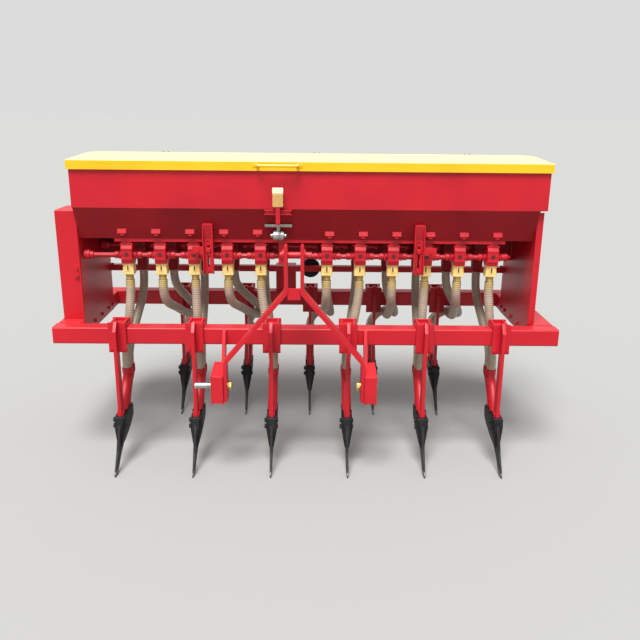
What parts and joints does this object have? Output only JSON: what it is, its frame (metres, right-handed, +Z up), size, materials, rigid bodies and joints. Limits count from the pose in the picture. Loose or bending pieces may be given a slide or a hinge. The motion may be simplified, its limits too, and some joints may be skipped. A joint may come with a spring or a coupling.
{
  "type": "seed drill",
  "caption": "Tractor-mounted seed and fertiliser drill with a hinged-lid hopper, two metering rows, tines in two ranks with openers and seed hoses, and a three-point hitch.",
  "frame": {"origin": "centre of the bounding box in X and Y, on the floor under the opener tips", "axes": "+X to the machine's left-hand side, +Y to its rear (it is pulled towards -Y), +Z up"},
  "size_m": [2.38, 1.134, 1.4423],
  "materials": {
    "red_paint": "semi-gloss paint",
    "yellow_paint": "semi-gloss paint",
    "bare_steel": "zinc plated",
    "black_iron": "black painted casting",
    "hose_plastic": "ribbed, semi-clear"
  },
  "bodies": {
    "drill": {"front_beam": "red_paint", "rear_beam": "red_paint", "side_member_left": "red_paint", "side_member_right": "red_paint", "rear_rail": "red_paint", "drive_post": "red_paint", "hopper": "red_paint", "hopper_partition": "red_paint", "end_plate_left": "red_paint", "end_plate_right": "red_paint", "chain_case": "red_paint", "front_metering_bank": "red_paint", "rear_metering_bank": "red_paint", "channel_bracket_1": "red_paint", "channel_bracket_2": "red_paint", "rate_bracket": "red_paint", "rate_lever": "red_paint", "hitch_mast": "red_paint", "lower_hitch_left": "red_paint", "lower_hitch_right": "red_paint", "tine_1": "red_paint", "tine_2": "red_paint", "tine_3": "red_paint", "tine_4": "red_paint", "tine_5": "red_paint", "tine_6": "red_paint", "tine_7": "red_paint", "tine_8": "red_paint", "tine_9": "red_paint", "tine_10": "red_paint", "tine_11": "red_paint", "rate_knob": "bare_steel", "link_pin": "bare_steel", "link_bolt": "bare_steel", "drive_hub": "black_iron", "opener_1": "black_iron", "opener_2": "black_iron", "opener_3": "black_iron", "opener_4": "black_iron", "opener_5": "black_iron", "opener_6": "black_iron", "opener_7": "black_iron", "opener_8": "black_iron", "opener_9": "black_iron", "opener_10": "black_iron", "opener_11": "black_iron", "hoses_1": "hose_plastic", "hoses_2": "hose_plastic", "hoses_3": "hose_plastic", "hoses_4": "hose_plastic", "hoses_5": "hose_plastic", "hoses_6": "hose_plastic", "hoses_7": "hose_plastic", "hoses_8": "hose_plastic", "hoses_9": "hose_plastic", "hoses_10": "hose_plastic", "hoses_11": "hose_plastic"},
    "lid": {"hopper_lid": "yellow_paint"},
    "front_shaft": {"front_metering_shaft": "red_paint"},
    "rear_shaft": {"rear_metering_shaft": "red_paint"}
  },
  "joints": [
    {"name": "lid_hinge", "type": "hinge", "parent": "drill", "child": "lid", "pos_m": [0.015, 0.363, 1.415], "axis": [-1, 0, 0], "range_deg": [0, 105]},
    {"name": "front_shaft_turn", "type": "hinge", "parent": "drill", "child": "front_shaft", "pos_m": [0.015, -0.201, 0.98], "axis": [-1, 0, 0], "continuous": true},
    {"name": "rear_shaft_turn", "type": "hinge", "parent": "drill", "child": "rear_shaft", "pos_m": [0.015, 0.079, 0.98], "axis": [-1, 0, 0], "continuous": true}
  ],
  "couplings": [
    {"joint": "rear_shaft_turn", "follows": "front_shaft_turn", "ratio": 1}
  ]
}
